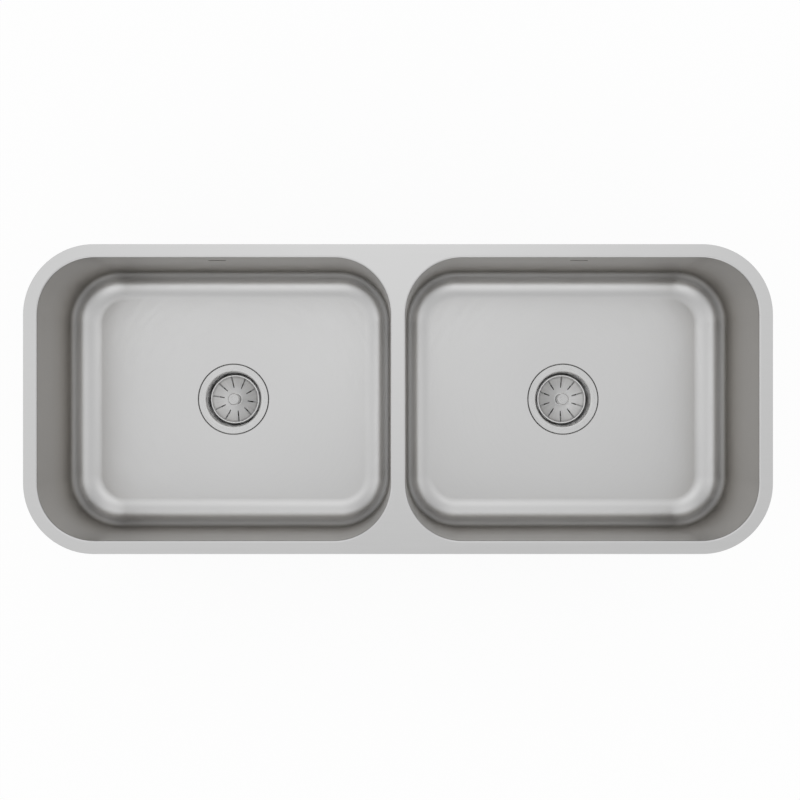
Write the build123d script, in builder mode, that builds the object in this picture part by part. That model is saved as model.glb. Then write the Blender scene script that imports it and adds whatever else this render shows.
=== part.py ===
from build123d import *

import os
from math import cos, hypot, radians, sin, sqrt, tan

# A double bowl kitchen sink in stainless steel, in millimetres.
# The origin is the middle of the deck's top face: +X to the right, +Y to the back, +Z up.
# Both bowls are alike, and each has its waste and its overflow.

# Bowls, each deep drawn from one sheet
bowl_length = 500.0
bowl_width = 400.0
bowl_corner_radius = 81.0
bowl_depth = 190.0
bowl_sheet = 1.0
wall_draft = 0.9
floor_radius = 40.0
floor_fall = 1.0
flat_floor_border = 7.0
rim_radius = 2.5
weld_land = 6.0

# Deck, a flat plate that the bowls are welded into
bridge_width = 21.0
end_flange = 19.5
back_flange = 19.0
deck_sheet = 1.2
deck_corner_radius = 100.0
deck_edge_radius = 0.4

# Sound-deadening pads, stuck to the outside
pad_sheet = 2.5
floor_pad_length = 380.0
floor_pad_width = 280.0
floor_pad_corner = 30.0
floor_pad_hole_radius = 64.0
wall_pad_length = 220.0
wall_pad_height = 90.0
wall_pad_corner = 12.0
wall_pad_depth = 85.0

# Waste opening
waste_hole_radius = 45.5
recess_radius = 56.0
recess_edge_radius = 0.8
flange_gasket_sheet = 1.5
flange_gasket_gap = 0.4
body_gasket_sheet = 2.5
body_gasket_inner_radius = 47.0

# Strainer cup, pressed, with its flange flush in the floor
cup_sheet = 1.2
cup_flange_gap = 1.3
cup_flange_edge = 0.4
cup_flange_dish = 0.1
cup_opening_radius = 43.2
cup_shoulder_radius = 2.5
cup_bottom_radius = 40.5
cup_depth = 36.0
cup_hub_drop = 4.0
cup_hub_radius = 12.0
seat_inner_radius = 22.5
cup_bend_radius = 3.0
cup_spokes = 6
spoke_width = 4.0

# Clamp screw, hollow so that the stopper's stem slides in it
screw_radius = 6.0
screw_head_radius = 9.0
screw_head_height = 3.0
screw_length = 26.0
screw_bore_depth = 22.0
screw_slot_width = 1.6
screw_slot_depth = 1.2
thread_clearance = 0.05
insert_radius = 9.0
insert_length = 17.0

# Stopper: a stem that carries the rubber seal, and the basket that turns on it
stem_radius = 3.0
stem_collar_radius = 6.5
stem_collar_height = 1.2
stem_head_radius = 5.0
stem_head_height = 4.0
stem_head_drop = 10.0
stem_tip_gap = 2.0
stem_tip_chamfer = 1.0
seal_radius = 27.0
seal_shoulder_radius = 20.5
seal_web = 2.0
seal_lip_width = 3.0
basket_sheet = 0.8
basket_radius = 39.0
basket_lip_drop = 17.5
basket_bead_radius = 1.6
basket_bead_wrap = 205.0
basket_seat_radius = 10.0
basket_base_height = 5.5
basket_slots = 10
slot_inner_radius = 18.5
slot_outer_radius = 36.2
slot_inner_width = 1.3
slot_outer_width = 2.8
slot_corner_radius = 0.5
slot_angle = {"left": 27.8, "right": 17.1}
knob_top_radius = 9.5
knob_waist_radius = 7.2
knob_foot_radius = 8.6
knob_top_drop = 1.0
knob_edge_radius = 2.0

# Room between pieces that move on each other
moving_gap = 0.3
running_clearance = 0.05

# Waste body, moulded
body_radius = 50.0
body_wall = 3.0
body_rim_thickness = 5.0
body_edge_radius = 1.5
body_straight_depth = 60.0
body_funnel_depth = 16.0
outlet_radius = 23.9
outlet_wall = 3.4
outlet_length = 20.0
collar_height = 6.0
collar_wall = 2.5
collar_clearance = 0.1
collar_drop = 1.0
collar_edge_radius = 4.0
boss_radius = 13.0
boss_gap = 2.0
boss_floor = 3.0
boss_ribs = 3
boss_rib_width = 3.5
boss_rib_angle = 30.0

# Overflow slot high in the back wall, with its housing outside
overflow_slot_length = 26.0
overflow_slot_height = 6.0
overflow_depth = 30.0
overflow_gasket_sheet = 2.0
housing_ear_length = 68.0
housing_ear_height = 22.0
housing_length = 44.0
housing_height = 38.0
housing_lowering = 8.0
housing_depth = 16.0
housing_wall = 2.0
housing_plate = 2.5
housing_rim = 2.0
housing_corner = 5.0
housing_edge_radius = 2.5
stud_radius = 2.0
stud_spacing = 54.0
stud_hole_clearance = 0.3
stud_end = 1.5
nut_height = 3.2
nut_across_flats = 7.0

# Overflow pipe, a rigid elbow that pushes over the housing's spigot
pipe_radius = 9.0
pipe_wall = 1.6
pipe_bend_radius = 30.0
pipe_clearance = 0.1
pipe_play = 2.0
spigot_length = 16.0
spigot_wall = 1.5
ring_width = 3.0
ring_depth = 1.0
inlet_drop = 45.0
socket_wall = 3.3
socket_length = 20.0
socket_bore_depth = 16.0
wedge_width = 3.0
nut_collar = 3.0
nut_wall = 2.8
nut_overlap = 12.0
nut_ribs = 8
nut_rib_width = 3.0
nut_rib_height = 1.4

# How closely a measured size meets its value, when an edge is picked by its size
size_match = 0.01

# Worked out from the sizes above
deck_length = 2 * bowl_length + bridge_width + 2 * end_flange
deck_width = bowl_width + 2 * back_flange
bowl_centre = (bowl_length + bridge_width) / 2
draft_slope = tan(radians(wall_draft))
recess_depth = flange_gasket_sheet + cup_sheet
flange_radius = recess_radius - cup_flange_gap
flange_slope = cup_flange_dish / (flange_radius - cup_opening_radius)
floor_z = -(bowl_depth + floor_fall)
floor_flat_radius = bowl_width / 2 - bowl_depth * draft_slope - floor_radius - flat_floor_border
body_top_z = floor_z - recess_depth - bowl_sheet - body_gasket_sheet
body_inner_radius = body_radius - body_wall
body_straight_z = body_top_z - body_straight_depth
outlet_top_z = body_straight_z - body_funnel_depth
outlet_end_z = outlet_top_z - outlet_length
cup_bottom_z = floor_z - cup_depth
hub_z = cup_bottom_z - cup_hub_drop
boss_top_z = hub_z - cup_sheet - boss_gap
screw_head_z = hub_z + screw_head_height
basket_base_z = cup_bottom_z + basket_base_height
bead_centre_radius = basket_radius - basket_bead_radius
bead_centre_z = floor_z - basket_lip_drop - basket_bead_radius
dish_edge_radius = bead_centre_radius + basket_bead_radius * cos(radians(basket_bead_wrap))
dish_edge_z = bead_centre_z + basket_bead_radius * sin(radians(basket_bead_wrap))
dish_rise = dish_edge_z - basket_base_z
dish_centre_height = (dish_edge_radius**2 - basket_seat_radius**2 + dish_rise**2) / (2 * dish_rise)
dish_radius = hypot(dish_centre_height, basket_seat_radius)
seal_top_z = basket_base_z - basket_sheet - moving_gap
knob_top_z = floor_z - knob_top_drop
stem_head_z = floor_z - stem_head_drop
inlet_z = floor_z - inlet_drop
socket_end_y = body_radius + socket_length
socket_radius = pipe_radius + socket_wall
wall_y = bowl_width / 2 + bowl_sheet - overflow_depth * draft_slope
spigot_y = wall_y + overflow_gasket_sheet + housing_depth / 2
spigot_radius = pipe_radius - pipe_wall - pipe_clearance
housing_bottom_z = -overflow_depth - housing_lowering - housing_height / 2
ring_top_z = housing_bottom_z - spigot_length / 2
pipe_top_z = housing_bottom_z - housing_rim - pipe_play
pipe_end_y = socket_end_y - socket_bore_depth + pipe_play


def upright(centre_x):
    """The XZ plane through a bowl's waste: a sketch's x is a radius and its y a height."""
    return Plane(origin=(centre_x, 0, 0), x_dir=(1, 0, 0), z_dir=(0, -1, 0))


def level(centre_x, height):
    """A flat plane over a bowl's waste, at a height."""
    return Plane(origin=(centre_x, 0, height))


def waste_axis(centre_x):
    return Axis((centre_x, 0, 0), (0, 0, 1))


def back_wall(centre_x, out):
    """The plane on the outside of a bowl's back wall at the overflow slot, moved out by a distance."""
    lean = radians(wall_draft)
    wall = Plane(
        origin=(centre_x, wall_y, -overflow_depth),
        x_dir=(-1, 0, 0),
        z_dir=(0, cos(lean), -sin(lean)),
    )
    return wall.offset(out)


def finish(piece, name):
    """Label a finished piece and write its STEP file."""
    piece.part.label = name
    export_step(piece.part, f"parts/{name}.step")


def weld_outline(mode=Mode.ADD):
    """The outline, in a sketch, where a bowl's flange is welded into the deck."""
    RectangleRounded(
        bowl_length + 2 * weld_land,
        bowl_width + 2 * weld_land,
        bowl_corner_radius + weld_land,
        mode=mode,
    )


def inlet_plane(centre_x, y):
    """The plane across a waste body's side inlet, facing its mouth."""
    return Plane(origin=(centre_x, y, inlet_z), x_dir=(1, 0, 0), z_dir=(0, 1, 0))


def bowl_form(centre_x, grow):
    """The room inside a bowl as a solid, grown by a distance on every side but its open top."""
    edge_z = -bowl_depth - grow
    low_z = floor_z - grow
    reach = bowl_length
    with BuildPart() as form:
        with BuildSketch(level(centre_x, 0)):
            RectangleRounded(
                bowl_length + 2 * grow, bowl_width + 2 * grow, bowl_corner_radius + grow
            )
        extrude(amount=low_z - recess_depth, taper=wall_draft)
        with BuildSketch(upright(centre_x)):
            with BuildLine():
                Polyline(
                    (0, 0),
                    (reach, 0),
                    (reach, edge_z),
                    (floor_flat_radius, edge_z),
                    (recess_radius + grow, low_z),
                    (recess_radius + grow, low_z - recess_depth),
                    (0, low_z - recess_depth),
                    (0, 0),
                )
            make_face()
        revolve(axis=waste_axis(centre_x), mode=Mode.INTERSECT)
        flat_floor = form.faces().filter_by(Axis.Z).sort_by(Axis.Z)[1]
        fillet(flat_floor.outer_wire().edges(), floor_radius + grow)
    return form.part


def make_bowl(side, centre_x):
    with BuildPart() as bowl:
        add(bowl_form(centre_x, bowl_sheet))
        with BuildSketch(level(centre_x, 0)):
            weld_outline()
        extrude(amount=-bowl_sheet)
        add(bowl_form(centre_x, 0), mode=Mode.SUBTRACT)
        underside = bowl.faces().filter_by(Axis.Z).sort_by(Axis.Z)[-2]
        fillet(underside.inner_wires()[0].edges(), rim_radius - bowl_sheet)
        top = bowl.faces().filter_by(Axis.Z).sort_by(Axis.Z)[-1]
        fillet(top.inner_wires()[0].edges(), rim_radius)
        # The hole for the waste, in the recess
        with BuildSketch(level(centre_x, floor_z)):
            Circle(waste_hole_radius)
        extrude(amount=-2 * recess_depth, mode=Mode.SUBTRACT)
        recess_edges = bowl.edges().filter_by(GeomType.CIRCLE).filter_by(
            lambda edge: abs(edge.radius - recess_radius) < size_match
        )
        fillet(recess_edges.sort_by(Axis.Z)[-1], recess_edge_radius)
        # The overflow slot, through the back wall only
        with BuildSketch(back_wall(centre_x, -bowl_width / 2)):
            SlotOverall(overflow_slot_length, overflow_slot_height)
        extrude(amount=bowl_width, mode=Mode.SUBTRACT)
    finish(bowl, f"{side}_bowl")


def make_deck():
    with BuildPart() as deck:
        with BuildSketch():
            RectangleRounded(deck_length, deck_width, deck_corner_radius)
            with Locations((-bowl_centre, 0), (bowl_centre, 0)):
                weld_outline(mode=Mode.SUBTRACT)
        extrude(amount=-deck_sheet)
        top = deck.faces().sort_by(Axis.Z)[-1]
        fillet(top.outer_wire().edges(), deck_edge_radius)
    finish(deck, "deck_plate")


def make_floor_pad(side, centre_x):
    with BuildPart() as pad:
        with BuildSketch(level(centre_x, -bowl_depth)):
            RectangleRounded(floor_pad_length, floor_pad_width, floor_pad_corner)
            Circle(floor_pad_hole_radius, mode=Mode.SUBTRACT)
        extrude(amount=-2 * (floor_fall + recess_depth + pad_sheet))
        add(bowl_form(centre_x, bowl_sheet + pad_sheet), mode=Mode.INTERSECT)
        add(bowl_form(centre_x, bowl_sheet), mode=Mode.SUBTRACT)
    finish(pad, f"{side}_floor_pad")


def make_wall_pads(side, centre_x):
    """One pad on each end wall and one on the front wall; the back wall carries the overflow."""
    with BuildPart() as pads:
        with BuildSketch(upright(centre_x)):
            with Locations((0, -wall_pad_depth)):
                RectangleRounded(wall_pad_length, wall_pad_height, wall_pad_corner)
        extrude(amount=bowl_width)
        with BuildSketch(Plane(origin=(centre_x, 0, 0), x_dir=(0, 1, 0), z_dir=(1, 0, 0))):
            with Locations((0, -wall_pad_depth)):
                RectangleRounded(wall_pad_length, wall_pad_height, wall_pad_corner)
        extrude(amount=bowl_length, both=True)
        add(bowl_form(centre_x, bowl_sheet + pad_sheet), mode=Mode.INTERSECT)
        add(bowl_form(centre_x, bowl_sheet), mode=Mode.SUBTRACT)
    finish(pads, f"{side}_wall_pads")


def make_strainer_cup(side, centre_x):
    with BuildPart() as cup:
        with BuildSketch(upright(centre_x)):
            with BuildLine():
                FilletPolyline(
                    (flange_radius, floor_z),
                    (cup_opening_radius, floor_z - cup_flange_dish),
                    (cup_bottom_radius, cup_bottom_z),
                    (seat_inner_radius, cup_bottom_z),
                    (cup_hub_radius, hub_z),
                    (screw_radius + thread_clearance, hub_z),
                    radius=[cup_shoulder_radius] + 3 * [cup_bend_radius],
                )
                offset(amount=cup_sheet, side=Side.LEFT)
            make_face()
        revolve(axis=waste_axis(centre_x))
        flange_edges = cup.edges().filter_by(GeomType.CIRCLE).filter_by(
            lambda edge: abs(edge.radius - flange_radius) < size_match
        )
        fillet(flange_edges.sort_by(Axis.Z)[-1], cup_flange_edge)
        # Drain openings between the spokes
        with BuildSketch(level(centre_x, cup_bottom_z + cup_sheet)):
            Circle(seat_inner_radius)
            Circle(cup_hub_radius, mode=Mode.SUBTRACT)
            with PolarLocations(seat_inner_radius / 2, cup_spokes):
                Rectangle(seat_inner_radius, spoke_width, mode=Mode.SUBTRACT)
        extrude(amount=-2 * (cup_hub_drop + cup_sheet), mode=Mode.SUBTRACT)
    finish(cup, f"{side}_strainer_cup")


def make_ring(side, centre_x, name, inner, outer, top_z, height):
    """A flat ring round the waste's axis, such as a gasket."""
    with BuildPart() as ring:
        with BuildSketch(level(centre_x, top_z)):
            Circle(outer)
            Circle(inner, mode=Mode.SUBTRACT)
        extrude(amount=-height)
    finish(ring, f"{side}_{name}")


def make_flange_gasket(side, centre_x):
    """The gasket fills the recess under the cup's flange, which slopes a little inwards."""
    inner_radius = waste_hole_radius + flange_gasket_gap
    outer_radius = recess_radius - flange_gasket_gap
    recess_z = floor_z - recess_depth
    flange_drop = cup_sheet * sqrt(1 + flange_slope**2)
    outer_z = floor_z - flange_drop - flange_slope * (flange_radius - outer_radius)
    inner_z = floor_z - flange_drop - flange_slope * (flange_radius - inner_radius)
    with BuildPart() as gasket:
        with BuildSketch(upright(centre_x)):
            with BuildLine():
                Polyline(
                    (inner_radius, recess_z),
                    (outer_radius, recess_z),
                    (outer_radius, outer_z),
                    (inner_radius, inner_z),
                    close=True,
                )
            make_face()
        revolve(axis=waste_axis(centre_x))
    finish(gasket, f"{side}_flange_gasket")


def make_clamp_screw(side, centre_x):
    with BuildPart() as screw:
        with BuildSketch(level(centre_x, screw_head_z)):
            Circle(screw_head_radius)
        extrude(amount=-screw_head_height)
        with BuildSketch(level(centre_x, hub_z)):
            Circle(screw_radius)
        extrude(amount=-screw_length)
        with BuildSketch(level(centre_x, screw_head_z)):
            Rectangle(2 * screw_head_radius, screw_slot_width)
        extrude(amount=-screw_slot_depth, mode=Mode.SUBTRACT)
        with BuildSketch(level(centre_x, screw_head_z)):
            Circle(stem_radius + moving_gap)
        extrude(amount=-screw_bore_depth, mode=Mode.SUBTRACT)
    finish(screw, f"{side}_clamp_screw")


def make_waste_body(side, centre_x):
    """The barrel under the bowl, with the overflow's inlet and the clamp screw's boss."""
    with BuildPart() as body:
        with BuildSketch(upright(centre_x)):
            with BuildLine():
                outside = FilletPolyline(
                    (recess_radius, body_top_z),
                    (recess_radius, body_top_z - body_rim_thickness),
                    (body_radius, body_top_z - body_rim_thickness),
                    (body_radius, body_straight_z),
                    radius=body_edge_radius,
                )
                inside = Line((body_inner_radius, body_straight_z), (body_inner_radius, body_top_z))
                Line(outside @ 1, inside @ 0)
                Line(inside @ 1, outside @ 0)
            make_face()
        revolve(axis=waste_axis(centre_x))
        # The side inlet for the overflow, a tube with a stepped bore
        with BuildSketch(inlet_plane(centre_x, body_inner_radius)):
            Circle(socket_radius)
        extrude(amount=socket_end_y - body_inner_radius)
        with BuildSketch(level(centre_x, body_top_z)):
            Circle(body_inner_radius)
        extrude(amount=inlet_z - socket_radius - body_top_z, mode=Mode.SUBTRACT)
        with BuildSketch(inlet_plane(centre_x, 0)):
            Circle(pipe_radius - pipe_wall)
        extrude(amount=socket_end_y, mode=Mode.SUBTRACT)
        with BuildSketch(inlet_plane(centre_x, socket_end_y)):
            Circle(pipe_radius + pipe_clearance)
        extrude(amount=-socket_bore_depth, mode=Mode.SUBTRACT)
        # The boss for the clamp screw's insert, on ribs that leave the inlet's side open
        with BuildSketch(level(centre_x, boss_top_z - boss_floor)):
            with PolarLocations(body_inner_radius / 2, boss_ribs, start_angle=boss_rib_angle):
                Rectangle(body_inner_radius + body_wall, boss_rib_width)
        extrude(amount=-insert_length)
        with BuildSketch(level(centre_x, boss_top_z)):
            Circle(boss_radius)
        extrude(amount=-insert_length - boss_floor)
        with BuildSketch(level(centre_x, boss_top_z)):
            Circle(insert_radius)
        extrude(amount=-insert_length, mode=Mode.SUBTRACT)
        with BuildSketch(level(centre_x, boss_top_z)):
            Circle(screw_radius + thread_clearance)
        extrude(amount=-insert_length - boss_floor, mode=Mode.SUBTRACT)
    finish(body, f"{side}_waste_body")


def make_waste_outlet(side, centre_x):
    """The funnel, glued over the barrel's lower end by its collar, with the outlet below it."""
    outlet_inner_radius = outlet_radius - outlet_wall
    collar_inner_radius = body_radius + collar_clearance
    collar_radius = collar_inner_radius + collar_wall
    collar_top_z = body_straight_z + collar_height
    with BuildPart() as outlet:
        with BuildSketch(upright(centre_x)):
            with BuildLine():
                outside = FilletPolyline(
                    (collar_radius, collar_top_z),
                    (collar_radius, body_straight_z - collar_drop),
                    (outlet_radius, outlet_top_z),
                    (outlet_radius, outlet_end_z),
                    radius=[collar_edge_radius, body_edge_radius],
                )
                Polyline(
                    outside @ 1,
                    (outlet_inner_radius, outlet_end_z),
                    (outlet_inner_radius, outlet_top_z),
                    (body_inner_radius, body_straight_z),
                    (collar_inner_radius, body_straight_z),
                    (collar_inner_radius, collar_top_z),
                    outside @ 0,
                )
            make_face()
        revolve(axis=waste_axis(centre_x))
    finish(outlet, f"{side}_waste_outlet")


def make_basket(side, centre_x):
    """A pressed dish, part of a sphere, with a beaded lip, a flat seat and tapered slots."""
    with BuildPart() as basket:
        with BuildSketch(upright(centre_x)):
            with BuildLine():
                lip = CenterArc(
                    (bead_centre_radius, bead_centre_z), basket_bead_radius, 0, basket_bead_wrap
                )
                dish = RadiusArc(lip @ 1, (basket_seat_radius, basket_base_z), dish_radius)
                Line(dish @ 1, (stem_radius + moving_gap, basket_base_z))
                offset(amount=basket_sheet, side=Side.LEFT)
            make_face()
        revolve(axis=waste_axis(centre_x))
        with BuildSketch(level(centre_x, floor_z)) as slots:
            with PolarLocations(0, basket_slots, start_angle=slot_angle[side]):
                Polygon(
                    (slot_inner_radius, slot_inner_width / 2),
                    (slot_inner_radius, -slot_inner_width / 2),
                    (slot_outer_radius, -slot_outer_width / 2),
                    (slot_outer_radius, slot_outer_width / 2),
                    align=None,
                )
            fillet(slots.vertices(), slot_corner_radius)
        extrude(amount=-cup_depth, mode=Mode.SUBTRACT)
    finish(basket, f"{side}_basket")


def make_knob(side, centre_x):
    stem_bore = stem_radius + running_clearance
    chamber_radius = stem_head_radius + moving_gap
    chamber_top_z = stem_head_z + moving_gap
    chamber_bottom_z = stem_head_z - stem_head_height - moving_gap
    waist_z = (knob_top_z + basket_base_z) / 2
    with BuildPart() as knob:
        with BuildSketch(upright(centre_x)):
            with BuildLine():
                Line((0, knob_top_z), (knob_top_radius - knob_edge_radius, knob_top_z))
                edge = TangentArc(
                    (knob_top_radius - knob_edge_radius, knob_top_z),
                    (knob_top_radius, knob_top_z - knob_edge_radius),
                    tangent=(1, 0),
                )
                ThreePointArc(
                    edge @ 1, (knob_waist_radius, waist_z), (knob_foot_radius, basket_base_z)
                )
                Polyline(
                    (knob_foot_radius, basket_base_z),
                    (stem_bore, basket_base_z),
                    (stem_bore, chamber_bottom_z),
                    (chamber_radius, chamber_bottom_z),
                    (chamber_radius, chamber_top_z),
                    (0, chamber_top_z),
                    (0, knob_top_z),
                )
            make_face()
        revolve(axis=waste_axis(centre_x))
    finish(knob, f"{side}_basket_knob")


def make_stem(side, centre_x):
    collar_top_z = seal_top_z - seal_web
    tip_z = screw_head_z - screw_bore_depth + stem_tip_gap
    with BuildPart() as stem:
        with BuildSketch(level(centre_x, stem_head_z)):
            Circle(stem_head_radius)
        extrude(amount=-stem_head_height)
        with BuildSketch(level(centre_x, stem_head_z)):
            Circle(stem_radius)
        extrude(amount=tip_z - stem_head_z)
        with BuildSketch(level(centre_x, collar_top_z)):
            Circle(stem_collar_radius)
        extrude(amount=-stem_collar_height)
        tip = stem.edges().filter_by(GeomType.CIRCLE).sort_by(Axis.Z)[0]
        chamfer(tip, stem_tip_chamfer)
    finish(stem, f"{side}_basket_stem")


def make_stopper_seal(side, centre_x):
    """A rubber bell: a web on the stem's collar, and a lip that closes on the cup's seat."""
    lip_z = cup_bottom_z + moving_gap
    web_z = seal_top_z - seal_web
    lip_inner_radius = seal_radius - seal_lip_width
    with BuildPart() as seal:
        with BuildSketch(upright(centre_x)):
            with BuildLine():
                Polyline(
                    (stem_radius, seal_top_z),
                    (seal_shoulder_radius, seal_top_z),
                    (seal_radius, lip_z + seal_lip_width / 2),
                    (seal_radius, lip_z),
                    (lip_inner_radius, lip_z),
                    (seal_shoulder_radius - seal_web, web_z),
                    (stem_radius, web_z),
                    close=True,
                )
            make_face()
        revolve(axis=waste_axis(centre_x))
    finish(seal, f"{side}_stopper_seal")


def housing_outline(rim):
    """The overflow housing's outline in a sketch: its box and the ears that take the studs."""
    RectangleRounded(housing_ear_length, housing_ear_height, housing_corner)
    with Locations((0, -housing_lowering)):
        RectangleRounded(housing_length + 2 * rim, housing_height + 2 * rim, housing_corner + rim)


def stud_holes():
    with GridLocations(stud_spacing, 0, 2, 1):
        Circle(stud_radius + stud_hole_clearance, mode=Mode.SUBTRACT)


def housing_room(mode=Mode.ADD):
    """The outline of the housing's open inside, in a sketch."""
    with Locations((0, -housing_lowering)):
        RectangleRounded(
            housing_length - 2 * housing_wall,
            housing_height - 2 * housing_wall,
            housing_corner - housing_wall,
            mode=mode,
        )


def make_overflow_gasket(side, centre_x):
    with BuildPart() as gasket:
        with BuildSketch(back_wall(centre_x, 0)):
            housing_outline(housing_rim)
            housing_room(mode=Mode.SUBTRACT)
            stud_holes()
        extrude(amount=overflow_gasket_sheet)
    finish(gasket, f"{side}_overflow_gasket")


def make_overflow_housing(side, centre_x):
    with BuildPart() as housing:
        with BuildSketch(back_wall(centre_x, overflow_gasket_sheet)):
            housing_outline(housing_rim)
            stud_holes()
        extrude(amount=housing_plate)
        with BuildSketch(back_wall(centre_x, overflow_gasket_sheet)):
            with Locations((0, -housing_lowering)):
                RectangleRounded(housing_length, housing_height, housing_corner)
        extrude(amount=housing_depth)
        outside = housing.faces().filter_by(GeomType.PLANE).sort_by(Axis.Y)[-1]
        fillet(outside.edges(), housing_edge_radius)
        # The spigot points straight down, and has a groove for its sealing ring
        with BuildSketch(Plane((centre_x, spigot_y, housing_bottom_z + housing_wall))):
            Circle(spigot_radius)
        extrude(amount=-spigot_length - housing_wall)
        with BuildSketch(Plane((centre_x, spigot_y, ring_top_z))):
            Circle(spigot_radius)
            Circle(spigot_radius - ring_depth, mode=Mode.SUBTRACT)
        extrude(amount=-ring_width, mode=Mode.SUBTRACT)
        with BuildSketch(back_wall(centre_x, overflow_gasket_sheet)):
            housing_room()
        extrude(amount=housing_depth - housing_wall, mode=Mode.SUBTRACT)
        with BuildSketch(Plane((centre_x, spigot_y, housing_bottom_z + 2 * housing_wall))):
            Circle(spigot_radius - ring_depth - spigot_wall)
        extrude(amount=-spigot_length - 2 * housing_wall, mode=Mode.SUBTRACT)
    finish(housing, f"{side}_overflow_housing")


def make_overflow_studs(side, centre_x):
    stud_length = overflow_gasket_sheet + housing_plate + nut_height + stud_end
    with BuildPart() as studs:
        with BuildSketch(back_wall(centre_x, 0)):
            with GridLocations(stud_spacing, 0, 2, 1):
                Circle(stud_radius)
        extrude(amount=stud_length)
    finish(studs, f"{side}_overflow_studs")


def make_overflow_nuts(side, centre_x):
    nut_corner_radius = nut_across_flats / sqrt(3)
    with BuildPart() as nuts:
        with BuildSketch(back_wall(centre_x, overflow_gasket_sheet + housing_plate)):
            with GridLocations(stud_spacing, 0, 2, 1):
                RegularPolygon(nut_corner_radius, 6)
                Circle(stud_radius + thread_clearance, mode=Mode.SUBTRACT)
        extrude(amount=nut_height)
    finish(nuts, f"{side}_overflow_nuts")


def make_overflow_pipe(side, centre_x):
    with BuildPart() as pipe:
        with BuildLine():
            fall = Line(
                (centre_x, spigot_y, pipe_top_z),
                (centre_x, spigot_y, inlet_z + pipe_bend_radius),
            )
            bend = TangentArc(
                fall @ 1, (centre_x, spigot_y - pipe_bend_radius, inlet_z), tangent=fall % 1
            )
            Line(bend @ 1, (centre_x, pipe_end_y, inlet_z))
        with BuildSketch(Plane((centre_x, spigot_y, pipe_top_z))):
            Circle(pipe_radius)
            Circle(pipe_radius - pipe_wall, mode=Mode.SUBTRACT)
        sweep()
    finish(pipe, f"{side}_overflow_pipe")


def make_pipe_seals(side, centre_x):
    """The ring in the spigot's groove, and the wedge ring between the inlet and its slip nut."""
    with BuildPart() as seals:
        with BuildSketch(Plane((centre_x, spigot_y, ring_top_z))):
            Circle(pipe_radius - pipe_wall)
            Circle(spigot_radius - ring_depth, mode=Mode.SUBTRACT)
        extrude(amount=-ring_width)
        with BuildSketch(inlet_plane(centre_x, socket_end_y)):
            Circle(socket_radius)
            Circle(pipe_radius, mode=Mode.SUBTRACT)
        extrude(amount=wedge_width)
    finish(seals, f"{side}_pipe_seals")


def make_slip_nut(side, centre_x):
    inner_radius = socket_radius + thread_clearance
    outer_radius = inner_radius + nut_wall
    nut_length = nut_overlap + wedge_width + nut_collar
    with BuildPart() as nut:
        with BuildSketch(inlet_plane(centre_x, socket_end_y - nut_overlap)):
            Circle(outer_radius)
            with PolarLocations(outer_radius, nut_ribs):
                Rectangle(2 * nut_rib_height, nut_rib_width)
        extrude(amount=nut_length)
        with BuildSketch(inlet_plane(centre_x, socket_end_y - nut_overlap)):
            Circle(inner_radius)
        extrude(amount=nut_overlap + wedge_width, mode=Mode.SUBTRACT)
        with BuildSketch(inlet_plane(centre_x, socket_end_y)):
            Circle(pipe_radius + pipe_clearance)
        extrude(amount=nut_length, mode=Mode.SUBTRACT)
    finish(nut, f"{side}_slip_nut")


os.makedirs("parts", exist_ok=True)
make_deck()
for side, centre_x in (("left", -bowl_centre), ("right", bowl_centre)):
    make_bowl(side, centre_x)
    make_floor_pad(side, centre_x)
    make_wall_pads(side, centre_x)
    make_strainer_cup(side, centre_x)
    make_flange_gasket(side, centre_x)
    make_ring(
        side,
        centre_x,
        "body_gasket",
        body_gasket_inner_radius,
        recess_radius,
        body_top_z + body_gasket_sheet,
        body_gasket_sheet,
    )
    make_ring(
        side,
        centre_x,
        "clamp_insert",
        screw_radius + thread_clearance,
        insert_radius,
        boss_top_z,
        insert_length,
    )
    make_clamp_screw(side, centre_x)
    make_waste_body(side, centre_x)
    make_waste_outlet(side, centre_x)
    make_basket(side, centre_x)
    make_knob(side, centre_x)
    make_stem(side, centre_x)
    make_stopper_seal(side, centre_x)
    make_overflow_gasket(side, centre_x)
    make_overflow_housing(side, centre_x)
    make_overflow_studs(side, centre_x)
    make_overflow_nuts(side, centre_x)
    make_overflow_pipe(side, centre_x)
    make_pipe_seals(side, centre_x)
    make_slip_nut(side, centre_x)
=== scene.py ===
"""Double bowl kitchen sink seen from above: its sheet steel forms, finishes, stage and light."""

import math

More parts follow.
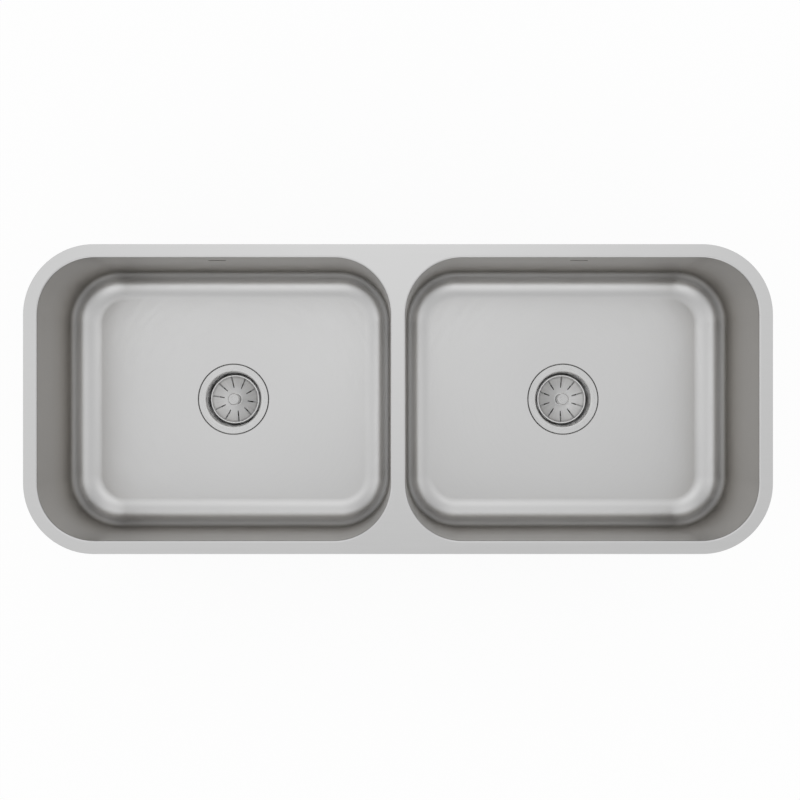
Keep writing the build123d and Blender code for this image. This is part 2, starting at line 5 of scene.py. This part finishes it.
import bmesh
import bpy
from mathutils import Matrix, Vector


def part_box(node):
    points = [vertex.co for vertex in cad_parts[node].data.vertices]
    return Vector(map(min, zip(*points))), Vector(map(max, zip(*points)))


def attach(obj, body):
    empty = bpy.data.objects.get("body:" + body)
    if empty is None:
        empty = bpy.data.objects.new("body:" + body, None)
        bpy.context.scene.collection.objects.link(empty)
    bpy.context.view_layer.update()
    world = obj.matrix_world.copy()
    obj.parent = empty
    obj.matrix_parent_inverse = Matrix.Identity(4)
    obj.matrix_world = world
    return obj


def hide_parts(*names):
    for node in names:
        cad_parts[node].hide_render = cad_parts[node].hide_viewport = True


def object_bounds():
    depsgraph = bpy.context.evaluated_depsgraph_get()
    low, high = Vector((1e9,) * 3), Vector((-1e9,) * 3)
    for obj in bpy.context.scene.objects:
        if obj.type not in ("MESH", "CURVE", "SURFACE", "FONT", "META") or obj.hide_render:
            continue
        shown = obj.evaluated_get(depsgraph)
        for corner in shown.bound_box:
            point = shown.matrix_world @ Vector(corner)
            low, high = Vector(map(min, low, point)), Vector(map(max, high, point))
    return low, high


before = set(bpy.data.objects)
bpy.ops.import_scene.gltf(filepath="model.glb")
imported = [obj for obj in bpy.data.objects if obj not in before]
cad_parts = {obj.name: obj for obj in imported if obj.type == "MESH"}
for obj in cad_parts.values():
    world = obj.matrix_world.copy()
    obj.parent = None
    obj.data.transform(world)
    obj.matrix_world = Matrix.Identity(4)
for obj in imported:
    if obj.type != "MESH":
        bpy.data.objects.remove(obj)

cad_low, cad_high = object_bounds()

# Sizes in metres. The origin is the middle of the deck's top face.
WASTES = {"left": -0.2605, "right": 0.2605}  # where each bowl and its waste are, along X
DECK_SHEET = 0.0012
DECK_CORNER = 0.100
DECK_EDGE = 0.0004
DECK_EDGE_STEPS = 4
OPENING = (0.500, 0.400)
OPENING_CORNER = 0.081
WELD_LAND = 0.006
LAND = tuple(side + 2 * WELD_LAND for side in OPENING)
LAND_CORNER = OPENING_CORNER + WELD_LAND
BOWL_SHEET = 0.001
BOWL_DEPTH = 0.190
WALL_LEAN = math.radians(0.9)
RIM_RADIUS = 0.0025
RIM_STEPS = 8
FLOOR_RADIUS = 0.040
FLOOR_RADIUS_STEPS = 20
FLOOR_FALL = 0.001
DISH_RADIUS = 0.150
RECESS_RADIUS = 0.056
RECESS_EDGE = 0.0008
RECESS_EDGE_STEPS = 4
RECESS_DEPTH = 0.0027
WASTE_HOLE = 0.0455
OVERFLOW_SLOT = (0.026, 0.006)
OVERFLOW_DEPTH = 0.030
OVERFLOW_CUT = 0.06  # length of the bar that cuts the slot
OUTLET_RADIUS = 0.0239
THREAD_PITCH = 0.0023
THREAD_HEIGHT = 0.0005
THREAD_TURNS = 7
THREAD_STEPS = 64  # for each turn
THREAD_FOOT = 0.36  # half the ridge's foot, as a share of the pitch
FLAT_SUPPORT = 0.0012  # narrow strip that keeps a flat face flat beside a bend
CORNER_STEPS = 24
ROUND_STEPS = 128
NEAR = 1e-5  # two places this close are the same
SHARP_ANGLE = math.radians(35)

# The floor under the sink, and the camera (its lens and sensor in millimetres)
FLOOR_GAP = 0.0003
STAGE_REACH = 12.0
FLOOR_GLOW = 0.92
CAMERA_PLACE = (0.00283, -0.00127, 1.605)
CAMERA_LENS = 51.11
CAMERA_SENSOR = 36.0

# Heights over which the sheet steel changes, as (from, to)
DECK_BEGINS = (-0.0024, -0.0006)
# painted shade: the walls' tone darkens over these heights
WALL_SHADE_DEEPENS = (-0.05, -0.15)
WALL_ENDS = (-0.150, -0.170)
RINGS_BEGIN = (-0.168, -0.188)

# Half the height over which one zone of a turned piece gives way to the next
ZONE_BLUR = 0.0006

# Turned pieces of the wastes: marks for each metre outwards, marks around, the top's (level,
# roughness), and (height, level, roughness) of each zone below it. The zone levels are painted
# highlight and painted shade.
TURNED_LOOKS_WITH_PAINTED_LIGHT = {
    # painted highlight on the cup's rim edge and inner wall, painted shade on its bottom under the
    # basket
    "strainer_cup": (
        1400, 6, (0.53, 0.28), (-0.1915, 0.90, 0.40), (-0.194, 0.86, 0.40), (-0.216, 0.66, 0.40),
    ),
    # painted shade on the basket's top bead, painted light on its dish below
    "basket": (25, 42, (0.76, 0.45), (-0.2122, 0.90, 0.50)),
    # painted highlight just under the knob's top, painted shadow on its side below
    "basket_knob": (900, 4, (0.48, 0.28), (-0.1925, 0.95, 0.35), (-0.1965, 0.20, 0.25)),
}

# The soft light: an even part, and lamps as strength, degrees from overhead, heading, tightness
ROOM_LIGHT = 0.532
LAMPS = (
    (0.73, 15, 90, 25),
    (0.28, 20, 0, 20),
    (0.42, 20, 180, 20),
    (0.74, 60, 90, 8),
    (0.99, 60, -90, 8),
    (0.66, 65, 0, 8),
    (0.76, 65, 180, 8),
)


# ---------------------------------------------------------------- shader maths

class Field:
    """One output of a shader node. Arithmetic on it adds Math nodes."""

    def __init__(self, finish, socket):
        self.finish = finish
        self.socket = socket

    def math(self, operation, first, second=0.0):
        return self.finish.node("Math", {"operation": operation}, {0: first, 1: second})

    def __add__(self, other):
        return self.math("ADD", self, other)

    __radd__ = __add__

    def __sub__(self, other):
        return self.math("SUBTRACT", self, other)

    def __rsub__(self, other):
        return self.math("SUBTRACT", other, self)

    def __mul__(self, other):
        return self.math("MULTIPLY", self, other)

    __rmul__ = __mul__

    def exp(self):
        return self.math("EXPONENT", self)


class Finish:
    """A material's or the world's node tree, and the one way in which it gets its nodes."""

    def __init__(self, owner, shader="Principled BSDF", **look):
        owner.use_nodes = True
        self.owner = owner
        self.tree = owner.node_tree
        self.shader = self.tree.nodes[shader]
        self.set(**look)

    def node(self, kind, settings=None, inputs=None, output=0):
        """A new node: its type, its settings, the values or links of its sockets, and its output."""
        made = self.tree.nodes.new("ShaderNode" + kind)
        for name, value in (settings or {}).items():
            setattr(made, name, value)
        for key, value in (inputs or {}).items():
            self.feed(made.inputs[key], value)
        return Field(self, made.outputs[output])

    def feed(self, socket, value):
        if isinstance(value, Field):
            self.tree.links.new(value.socket, socket)
        else:
            socket.default_value = value

    def set(self, **look):
        for name, value in look.items():
            self.feed(self.shader.inputs[name.replace("_", " ")], value)

    def vector(self, operation, first, second=(0, 0, 0), output="Vector"):
        return self.node("VectorMath", {"operation": operation}, {0: first, 1: second}, output)

    def place(self, centre=(0, 0, 0)):
        """Object coordinates in metres, counted from centre."""
        return self.vector("SUBTRACT", self.node("TexCoord", output="Object"), centre)

    def height(self):
        """Object Z in metres."""
        return self.node("SeparateXYZ", inputs={0: self.place()}, output="Z")

    def noise(self, where, detail=2.0):
        return self.node("TexNoise", inputs={"Vector": where, "Scale": 1.0, "Detail": detail})

    def grain(self, per_metre, detail=2.0):
        """Noise with its own number of marks for each metre along X, Y and Z."""
        return self.noise(self.vector("MULTIPLY", self.place(), per_metre), detail)

    def turned(self, centre_x, outwards, around, detail=2.0):
        """Noise in rings or rays about an upright axis: marks each metre outwards, and marks around."""
        flat = self.vector("MULTIPLY", self.place((centre_x, 0, 0)), (1, 1, 0))
        reach = self.vector("LENGTH", flat, output="Value")
        heading = self.vector("MULTIPLY", self.vector("NORMALIZE", flat), (around, around, 0))
        rise = self.node("CombineXYZ", inputs={2: reach * outwards})
        return self.noise(self.vector("ADD", heading, rise), detail)

    def step(self, value, low, high, at_low=0.0, at_high=1.0):
        """Smooth change from at_low to at_high while value goes from low to high."""
        limits = {"From Min": low, "From Max": high, "To Min": at_low, "To Max": at_high}
        return self.node("MapRange", {"interpolation_type": "SMOOTHSTEP"}, {"Value": value, **limits})

    def spread(self, noise, at_low=0.0, at_high=1.0):
        """Noise, which keeps near its middle, spread smoothly from at_low to at_high."""
        return self.step(noise, 0.3, 0.7, at_low, at_high)

    def mix(self, share, first, second):
        """A colour between first, at a share of 0, and second, at 1."""
        return self.node("Mix", {"data_type": "RGBA"}, {0: share, 6: first, 7: second}, output=2)

    def bump(self, height, distance):
        """Normal of a surface whose height field of 0 to 1 stands for that distance."""
        return self.node("Bump", inputs={"Height": height, "Distance": distance, "Strength": 1.0})


def material(name, **look):
    return Finish(bpy.data.materials.new(name), **look)


def tone(level, warmth=0.0):
    """An even linear colour; warmth takes it towards yellow."""
    return (level * (1 + warmth), level, level * (1 - 1.4 * warmth), 1.0)


# ---------------------------------------------------------------- finishes

def sheet_steel(name, centre_x):
    """Satin stainless sheet: brushed along the deck, round the walls and in rings on the floor.
    The drawn walls carry painted shade: a deeper, slightly warm tone, deepest below the middle of their
    height."""
    steel = material(name, Metallic=1.0)
    height = steel.height()
    along_deck = steel.grain((14, 900, 900), 3) * 0.5 + steel.grain((3, 190, 190)) * 0.5
    round_wall = steel.grain((9, 9, 900), 3) * 0.5 + steel.grain((2, 2, 190)) * 0.5
    in_rings = steel.turned(centre_x, 700, 5, 3) * 0.4 + steel.turned(centre_x, 240, 4) * 0.6
    on_floor = steel.step(height, *RINGS_BEGIN)
    on_deck = steel.step(height, *DECK_BEGINS)
    # where the walls' painted shade goes
    painted_wall_shade_mask = steel.step(height, *WALL_ENDS, 1, 0) * (1 - on_deck)
    inside = round_wall + (in_rings - round_wall) * on_floor
    grain = inside + (along_deck - inside) * on_deck
    clouds = steel.grain((5, 5, 5)) * 0.35 + grain * 0.65
    flat_tone = steel.mix(clouds, tone(0.522), tone(0.588))
    # painted shade on the walls: a darker, slightly warm tone, darkest below their middle
    painted_wall_shade = steel.mix(
        steel.step(height, *WALL_SHADE_DEEPENS),
        steel.mix(clouds, tone(0.415, 0.04), tone(0.455, 0.04)),
        steel.mix(clouds, tone(0.37, 0.065), tone(0.41, 0.065)),
    )
    steel.set(
        Base_Color=steel.mix(painted_wall_shade_mask, flat_tone, painted_wall_shade),
        Roughness=steel.spread(grain, 0.28, 0.33),
        Normal=steel.bump(grain, 0.000012),
    )
    return steel.owner


def mill_steel():
    """The underside of the sheets, as it leaves the press: duller, with soft draw marks."""
    steel = material("mill_steel", Metallic=1.0)
    marks = steel.grain((40, 40, 12), 4) * 0.6 + steel.grain((300, 300, 60)) * 0.4
    steel.set(
        Base_Color=steel.mix(marks, tone(0.40, 0.01), tone(0.52, 0.01)),
        Roughness=steel.spread(marks, 0.38, 0.5),
        Normal=steel.bump(marks, 0.00004),
    )
    return steel.owner


def turned_steel(name, centre_x, outwards, around, top, *painted_light_zones):
    """Steel turned or brushed about a waste's axis. The top's level of colour and roughness
    holds down to the first zone's height, and each zone's own (height, level, roughness) from there.
    The levels given below the top are painted highlight and painted shade."""
    steel = material(name, Metallic=1.0)
    lines = steel.turned(centre_x, outwards, around, 3)
    broad = steel.turned(centre_x, outwards / 4, around / 4)
    marks = steel.spread(lines * 0.6 + broad * 0.4)
    level, rough = top
    # painted highlight and shade: the colour level steps with height, zone by zone
    for height, next_level, next_rough in painted_light_zones:
        below = steel.step(steel.height(), height + ZONE_BLUR, height - ZONE_BLUR)
        level = level + (next_level - level) * below
        rough = rough + (next_rough - rough) * below
    shade = level + (marks - 0.5) * 0.08
    steel.set(
        Base_Color=steel.node("CombineColor", inputs={0: shade, 1: shade, 2: shade}),
        Roughness=rough + (marks - 0.5) * 0.06,
        Normal=steel.bump(marks, 0.00001),
    )
    return steel.owner


def fastener_steel():
    """Bright drawn steel of screws, studs, nuts and stems."""
    steel = material("fastener_steel", Metallic=1.0)
    marks = steel.grain((700, 700, 700), 3)
    steel.set(
        Base_Color=steel.mix(marks, tone(0.42, 0.01), tone(0.56, 0.01)),
        Roughness=steel.spread(marks, 0.26, 0.4),
        Normal=steel.bump(marks, 0.00002),
    )
    return steel.owner


def brass():
    """Turned brass of the threaded inserts."""
    metal = material("brass", Metallic=1.0)
    marks = metal.grain((500, 500, 1500), 3)
    metal.set(
        Base_Color=metal.mix(marks, (0.58, 0.39, 0.15, 1), (0.78, 0.57, 0.27, 1)),
        Roughness=metal.spread(marks, 0.25, 0.42),
        Normal=metal.bump(marks, 0.00002),
    )
    return metal.owner


def white_plastic():
    """Moulded plastic with a fine spark texture and faint flow marks."""
    plastic = material("white_plastic")
    spark = plastic.grain((2200, 2200, 2200), 3)
    flow = plastic.grain((18, 18, 45), 3)
    plastic.set(
        Base_Color=plastic.mix(flow, (0.70, 0.70, 0.68, 1), (0.79, 0.79, 0.77, 1)),
        Roughness=plastic.spread(spark, 0.38, 0.52),
        Normal=plastic.bump(spark, 0.00004),
    )
    return plastic.owner


def seal_rubber():
    """Black rubber of gaskets and seals, with a faint bloom."""
    rubber = material("seal_rubber")
    bloom = rubber.grain((60, 60, 60), 3)
    skin = rubber.grain((1600, 1600, 1600), 3)
    rubber.set(
        Base_Color=rubber.mix(bloom, tone(0.012), tone(0.026)),
        Roughness=rubber.spread(bloom, 0.55, 0.75),
        Normal=rubber.bump(skin, 0.00004),
    )
    return rubber.owner


def pad_rubber():
    """Sound-deadening pad: dark, matt, with a pebbled face and a little dust."""
    rubber = material("pad_rubber")
    pebbles = rubber.node(
        "TexVoronoi", {"feature": "SMOOTH_F1"}, {"Vector": rubber.place(), "Scale": 330.0},
    )
    dust = rubber.grain((35, 35, 35), 4)
    rubber.set(
        Base_Color=rubber.mix(dust, tone(0.028), tone(0.055)),
        Roughness=rubber.spread(dust, 0.7, 0.88),
        Normal=rubber.bump(1 - pebbles, 0.0008),
    )
    return rubber.owner


# ---------------------------------------------------------------- forms

def as_mesh(name, bm):
    """A mesh from a bmesh, which is spent."""
    mesh = bpy.data.meshes.new(name)
    bm.to_mesh(mesh)
    bm.free()
    return mesh


def in_scene(name, data):
    """A new object of the scene, at the origin."""
    thing = bpy.data.objects.new(name, data)
    bpy.context.scene.collection.objects.link(thing)
    return thing


def finished(name, mesh, finishes, body="sink", replaced=()):
    """Make a mesh a piece that rides on a body. Finishes go into the slots that the mesh has, so that
    its faces keep theirs, and then into new ones."""
    mesh.name = name
    mesh.shade_smooth()
    mesh.set_sharp_from_angle(angle=SHARP_ANGLE)
    for i, finish in enumerate(finishes):
        if i < len(mesh.materials):
            mesh.materials[i] = finish
        else:
            mesh.materials.append(finish)
    piece = in_scene(name, mesh)
    weigh = piece.modifiers.new("flat_faces_stay_flat", "WEIGHTED_NORMAL")
    weigh.keep_sharp = True
    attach(piece, body)
    if replaced:
        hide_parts(*replaced)
    return piece


def rounded_face(bm, size, corner, height, centre_x=0.0):
    """One flat upward face with round corners."""
    known = set(bm.faces)
    made = bmesh.ops.create_grid(bm, x_segments=1, y_segments=1, size=0.5)
    bmesh.ops.scale(bm, vec=(size[0], size[1], 1), verts=made["verts"])
    bmesh.ops.translate(bm, vec=(centre_x, 0, height), verts=made["verts"])
    bmesh.ops.bevel(
        bm, geom=made["verts"], offset=corner, offset_type="OFFSET", segments=CORNER_STEPS,
        profile=0.5, affect="VERTICES", material=-1,
    )
    return next(face for face in bm.faces if face not in known)


def inset(bm, face, inwards, down=0.0):
    """Step a face inwards and down; the face goes with it."""
    bmesh.ops.inset_individual(bm, faces=[face], thickness=inwards, depth=-down, use_even_offset=True)


def bevel_edges(bm, edges, offset, segments):
    bmesh.ops.bevel(
        bm, geom=list(edges), offset=offset, offset_type="OFFSET", segments=segments,
        profile=0.5, affect="EDGES", material=-1, clamp_overlap=False,
    )


def edges_at(bm, test):
    """Edges whose two ends both pass a test of their place."""
    return [edge for edge in bm.edges if all(test(vert.co) for vert in edge.verts)]


def drawn_bowl():
    """The bowl's inside, at x = 0: flange, rim, leaning wall, floor radius, dish and recess."""
    bm = bmesh.new()
    face = rounded_face(bm, LAND, LAND_CORNER, 0)
    inset(bm, face, WELD_LAND - RIM_RADIUS - FLAT_SUPPORT)
    inset(bm, face, RIM_RADIUS + FLAT_SUPPORT)
    rim = set(face.edges)
    inset(bm, face, BOWL_DEPTH * math.tan(WALL_LEAN), BOWL_DEPTH)
    turn = math.tan((math.pi / 2 - WALL_LEAN) / 2)
    bevel_edges(bm, rim, RIM_RADIUS * turn, RIM_STEPS)
    foot = edges_at(bm, lambda place: abs(place.z + BOWL_DEPTH) < NEAR)
    bevel_edges(bm, foot, FLOOR_RADIUS * turn, FLOOR_RADIUS_STEPS)
    floor = max(bm.faces, key=lambda face: len(face.verts))
    inset(bm, floor, FLAT_SUPPORT)
    outline = list(floor.edges)
    bmesh.ops.delete(bm, geom=[floor], context="FACES_ONLY")
    bmesh.ops.triangle_fill(bm, edges=outline + dished_floor(bm), use_beauty=True, normal=(0, 0, 1))
    bmesh.ops.recalc_face_normals(bm, faces=bm.faces)
    if max(bm.faces, key=lambda face: face.calc_center_median().z).normal.z < 0:
        bmesh.ops.reverse_faces(bm, faces=bm.faces)
    return bm


def arc(centre_r, centre_z, radius, start, end, steps):
    """Points (r, z) along an arc, its angles in degrees."""
    turns = [math.radians(start + (end - start) * i / steps) for i in range(steps + 1)]
    return [(centre_r + radius * math.cos(turn), centre_z + radius * math.sin(turn)) for turn in turns]


def dished_floor(bm):
    """The floor round the waste, spun from its profile; returns its outer loop of edges."""
    low = -BOWL_DEPTH - FLOOR_FALL
    places = [
        (DISH_RADIUS, -BOWL_DEPTH),
        *arc(RECESS_RADIUS + RECESS_EDGE, low - RECESS_EDGE, RECESS_EDGE, 90, 180, RECESS_EDGE_STEPS),
        (RECESS_RADIUS, low - RECESS_DEPTH),
        (WASTE_HOLE, low - RECESS_DEPTH),
    ]
    profile = [bm.verts.new((r, 0, z)) for r, z in places]
    line = [bm.edges.new(pair) for pair in zip(profile, profile[1:])]
    bmesh.ops.spin(
        bm, geom=profile + line, cent=(0, 0, 0), axis=(0, 0, 1), dvec=(0, 0, 0),
        angle=2 * math.pi, steps=ROUND_STEPS, use_merge=True,
    )
    return edges_at(
        bm, lambda place: abs(place.xy.length - DISH_RADIUS) < NEAR and place.z < -BOWL_DEPTH / 2,
    )


def overflow_cutter():
    """A long bar with round ends that cuts the overflow's slot through the back wall."""
    bm = bmesh.new()
    face = rounded_face(bm, OVERFLOW_SLOT, OVERFLOW_SLOT[1] * 0.4999, 0)
    grown = bmesh.ops.extrude_face_region(bm, geom=[face])["geom"]
    tops = [part for part in grown if isinstance(part, bmesh.types.BMVert)]
    bmesh.ops.translate(bm, vec=(0, 0, OVERFLOW_CUT), verts=tops)
    bmesh.ops.recalc_face_normals(bm, faces=bm.faces)
    start = Matrix.Translation((0, OPENING[1] / 2 - OVERFLOW_CUT / 2, -OVERFLOW_DEPTH))
    turn = Matrix.Rotation(-math.pi / 2, 4, "X")
    bmesh.ops.transform(bm, matrix=start @ turn, verts=bm.verts)
    return in_scene("overflow_cutter", as_mesh("overflow_cutter", bm))


def make_bowls(mill):
    """Both bowls: one shell with its thickness and slot, set in two places."""
    mesh = as_mesh("bowl", drawn_bowl())
    shell = in_scene("bowl", mesh)
    wall = shell.modifiers.new("sheet", "SOLIDIFY")
    wall.thickness = BOWL_SHEET
    wall.offset = -1
    wall.material_offset = 1
    wall.material_offset_rim = 1
    cutter = overflow_cutter()
    slot = shell.modifiers.new("slot", "BOOLEAN")
    slot.object = cutter
    slot.solver = "EXACT"
    satin = {side: sheet_steel(side + "_bowl_satin", centre_x) for side, centre_x in WASTES.items()}
    # two different finishes keep the inside's and the outside's slots apart through the modifiers
    for finish in (satin["left"], mill):
        mesh.materials.append(finish)
    depsgraph = bpy.context.evaluated_depsgraph_get()
    solid = bpy.data.meshes.new_from_object(shell.evaluated_get(depsgraph))
    for spent in (shell, cutter):
        bpy.data.objects.remove(spent)
    for side, centre_x in WASTES.items():
        bowl = solid.copy()
        bowl.transform(Matrix.Translation((centre_x, 0, 0)))
        finished(
            side + "_bowl_shell", bowl, (satin[side], mill), "sink",
            [side + "_bowl"],
        )


def make_deck(satin):
    """The deck: a flat sheet with a small edge radius and two rounded openings."""
    low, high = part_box("deck_plate")
    bm = bmesh.new()
    skirt = rounded_face(bm, (high.x - low.x, high.y - low.y), DECK_CORNER, -DECK_EDGE)
    outline = list(skirt.edges)
    for i in range(DECK_EDGE_STEPS):
        here, after = (math.pi / 2 * (i + j) / DECK_EDGE_STEPS for j in (0, 1))
        inset(
            bm, skirt, DECK_EDGE * (math.cos(here) - math.cos(after)),
            -DECK_EDGE * (math.sin(after) - math.sin(here)),
        )
    inset(bm, skirt, FLAT_SUPPORT)
    holes = [rounded_face(bm, LAND, LAND_CORNER, 0, x) for x in WASTES.values()]
    inner = [edge for face in (skirt, *holes) for edge in face.edges]
    mouths = [edge for face in holes for edge in face.edges]
    bmesh.ops.delete(bm, geom=[skirt, *holes], context="FACES_ONLY")
    bmesh.ops.triangle_fill(bm, edges=inner, use_beauty=True, normal=(0, 0, 1))
    grown = bmesh.ops.extrude_edge_only(bm, edges=outline + mouths)["geom"]
    lowered = [part for part in grown if isinstance(part, bmesh.types.BMVert)]
    for vert in lowered:
        vert.co.z = -DECK_SHEET
    under = [part for part in grown if isinstance(part, bmesh.types.BMEdge)]
    bmesh.ops.triangle_fill(bm, edges=under, use_beauty=True, normal=(0, 0, -1))
    bmesh.ops.recalc_face_normals(bm, faces=bm.faces)
    finished(
        "deck_sheet", as_mesh("deck_sheet", bm), [satin], "sink", ["deck_plate"],
    )


def make_outlet_thread(side, centre_x, plastic):
    """The male thread on an outlet: a low ridge screwed round it."""
    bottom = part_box(side + "_waste_outlet")[0].z
    half = THREAD_PITCH * THREAD_FOOT
    start = bottom + 2 * half
    bm = bmesh.new()
    section = [
        bm.verts.new((OUTLET_RADIUS + out, 0, start + rise))
        for out, rise in (
            (-THREAD_HEIGHT, -half), (THREAD_HEIGHT, -half / 4),
            (THREAD_HEIGHT, half / 4), (-THREAD_HEIGHT, half),
        )
    ]
    line = [bm.edges.new(pair) for pair in zip(section, section[1:] + section[:1])]
    steps = THREAD_STEPS * THREAD_TURNS
    bmesh.ops.spin(
        bm, geom=section + line, cent=(0, 0, 0), axis=(0, 0, 1),
        dvec=(0, 0, THREAD_PITCH * THREAD_TURNS / steps),
        angle=2 * math.pi * THREAD_TURNS, steps=steps, use_merge=False,
    )
    ends = [edge for edge in bm.edges if edge.is_boundary]
    bmesh.ops.holes_fill(bm, edges=ends, sides=4)
    bmesh.ops.recalc_face_normals(bm, faces=bm.faces)
    bmesh.ops.translate(bm, vec=(centre_x, 0, 0), verts=bm.verts)
    name = side + "_outlet_thread"
    finished(name, as_mesh(name, bm), [plastic])


# ---------------------------------------------------------------- dress the frame

def paint(names, finish):
    """Give nodes of both sides one finish, or each side its own."""
    for side in WASTES:
        for name in names:
            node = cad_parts[side + "_" + name]
            for place in node.material_slots:
                place.material = finish[side] if isinstance(finish, dict) else finish


mill = mill_steel()
plastic = white_plastic()
rubber = seal_rubber()
fastener = fastener_steel()
make_deck(sheet_steel("deck_satin", 0))
make_bowls(mill)
for side, centre_x in WASTES.items():
    make_outlet_thread(side, centre_x, plastic)

for name, look in TURNED_LOOKS_WITH_PAINTED_LIGHT.items():
    paint([name], {side: turned_steel(side + "_" + name, x, *look) for side, x in WASTES.items()})
paint(["clamp_screw", "basket_stem", "overflow_studs", "overflow_nuts"], fastener)
paint(["clamp_insert"], brass())
paint(["waste_body", "waste_outlet", "overflow_housing", "overflow_pipe", "slip_nut"], plastic)
paint(["flange_gasket", "body_gasket", "stopper_seal", "overflow_gasket", "pipe_seals"], rubber)
paint(["floor_pad", "wall_pads"], pad_rubber())


# ---------------------------------------------------------------- stage, light and camera

def stage_floor():
    """A wide pale floor under the outlets: it looks white and keeps the shadow."""
    bm = bmesh.new()
    bmesh.ops.create_grid(bm, x_segments=1, y_segments=1, size=STAGE_REACH)
    bmesh.ops.translate(bm, vec=(0, 0, cad_low.z - FLOOR_GAP), verts=bm.verts)
    mesh = as_mesh("studio_floor", bm)
    floor = in_scene("studio_floor", mesh)
    pale = material("studio_floor", Roughness=0.9)
    pale.set(Base_Color=pale.mix(pale.grain((3, 3, 3)), tone(0.88), tone(0.92)))
    straight, mirrored, through = (
        pale.node("LightPath", output="Is " + ray + " Ray")
        for ray in ("Camera", "Glossy", "Transmission")
    )
    seen = (straight + mirrored + through) * FLOOR_GLOW
    glow = pale.node("Emission", inputs={"Color": tone(1.0), "Strength": 1.0})
    lit = Field(pale, pale.shader.outputs[0])
    shown = pale.node("MixShader", inputs={0: seen, 1: lit, 2: glow})
    pale.feed(pale.tree.nodes["Material Output"].inputs["Surface"], shown)
    mesh.materials.append(pale.owner)


def light_room():
    """Soft white light from all round, with wide lamps overhead and round the horizon."""
    world = bpy.data.worlds.new("studio")
    bpy.context.scene.world = world
    sky = Finish(world, "Background")
    towards = sky.node("TexCoord", output="Generated")
    light = ROOM_LIGHT
    for strength, tilt, heading, tightness in LAMPS:
        tilt, heading = math.radians(tilt), math.radians(heading)
        flat = math.sin(tilt)
        centre = (flat * math.cos(heading), flat * math.sin(heading), math.cos(tilt))
        nearness = sky.vector("DOT_PRODUCT", towards, centre, output="Value")
        light = ((nearness - 1) * tightness).exp() * strength + light
    sky.set(Color=tone(1.0), Strength=light)


def place_camera():
    """Straight above the sink, at the photograph's distance."""
    lens = bpy.data.cameras.new("photograph")
    lens.lens = CAMERA_LENS
    lens.sensor_width = CAMERA_SENSOR
    camera = in_scene("photograph", lens)
    camera.location = CAMERA_PLACE
    bpy.context.scene.camera = camera


stage_floor()
light_room()
place_camera()
bpy.context.scene.view_settings.view_transform = "Standard"
